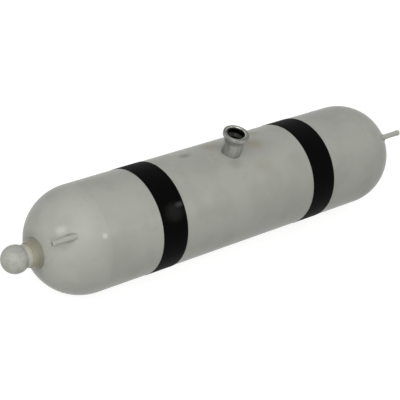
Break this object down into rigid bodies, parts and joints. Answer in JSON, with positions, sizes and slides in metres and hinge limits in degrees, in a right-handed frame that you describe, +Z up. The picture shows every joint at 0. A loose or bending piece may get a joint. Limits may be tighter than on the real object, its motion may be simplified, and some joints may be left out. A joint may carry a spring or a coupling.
{
  "type": "coolant expansion tank",
  "caption": "Cylindrical strap-mounted coolant expansion tank with domed ends, a threaded steel filler neck, vent nipples on the domes and a capped hose outlet.",
  "frame": {"origin": "on the tank's long axis, midway between the two rubber bands, which is where the pair of strap clamps holds it", "axes": "X runs along the tank, with the capped outlet at -X; Z runs up the filler neck; Y completes the right-handed frame, so the vent nipples lie on the -Y side of the neck"},
  "size_m": [0.8263, 0.182, 0.221],
  "materials": {
    "natural_plastic": "extruded and moulded natural polyethylene, semi-matt, slightly translucent",
    "weld_plastic": "hand-laid filler bead of the same polyethylene, slightly yellowed",
    "cap_plastic": "moulded white plastic, semi-gloss",
    "black_rubber": "thin smooth black rubber strip, bonded round the barrel",
    "seal_rubber": "moulded black seal rubber",
    "zinc_plated_steel": "turned steel, zinc plated, dull",
    "spring_steel": "phosphated spring steel strip"
  },
  "bodies": {
    "tank": {"barrel_tube": "natural_plastic", "left_end_dome": "natural_plastic", "right_end_dome": "natural_plastic", "left_dome_weld": "weld_plastic", "right_dome_weld": "weld_plastic", "left_rubber_band": "black_rubber", "right_rubber_band": "black_rubber", "left_surge_baffle": "natural_plastic", "right_surge_baffle": "natural_plastic", "filler_neck": "zinc_plated_steel", "neck_boss": "natural_plastic", "neck_o_ring": "seal_rubber", "neck_retaining_ring": "spring_steel", "left_vent_nipple": "natural_plastic", "right_vent_nipple": "natural_plastic", "left_vent_weld": "weld_plastic", "right_vent_weld": "weld_plastic", "outlet_spigot": "natural_plastic", "outlet_weld": "weld_plastic"},
    "cap": {"outlet_cap": "cap_plastic"}
  },
  "joints": [
    {"name": "outlet_cap_pull", "type": "slide", "parent": "tank", "child": "cap", "axis": [-1, 0, 0], "range_m": [0, 0.06]}
  ]
}
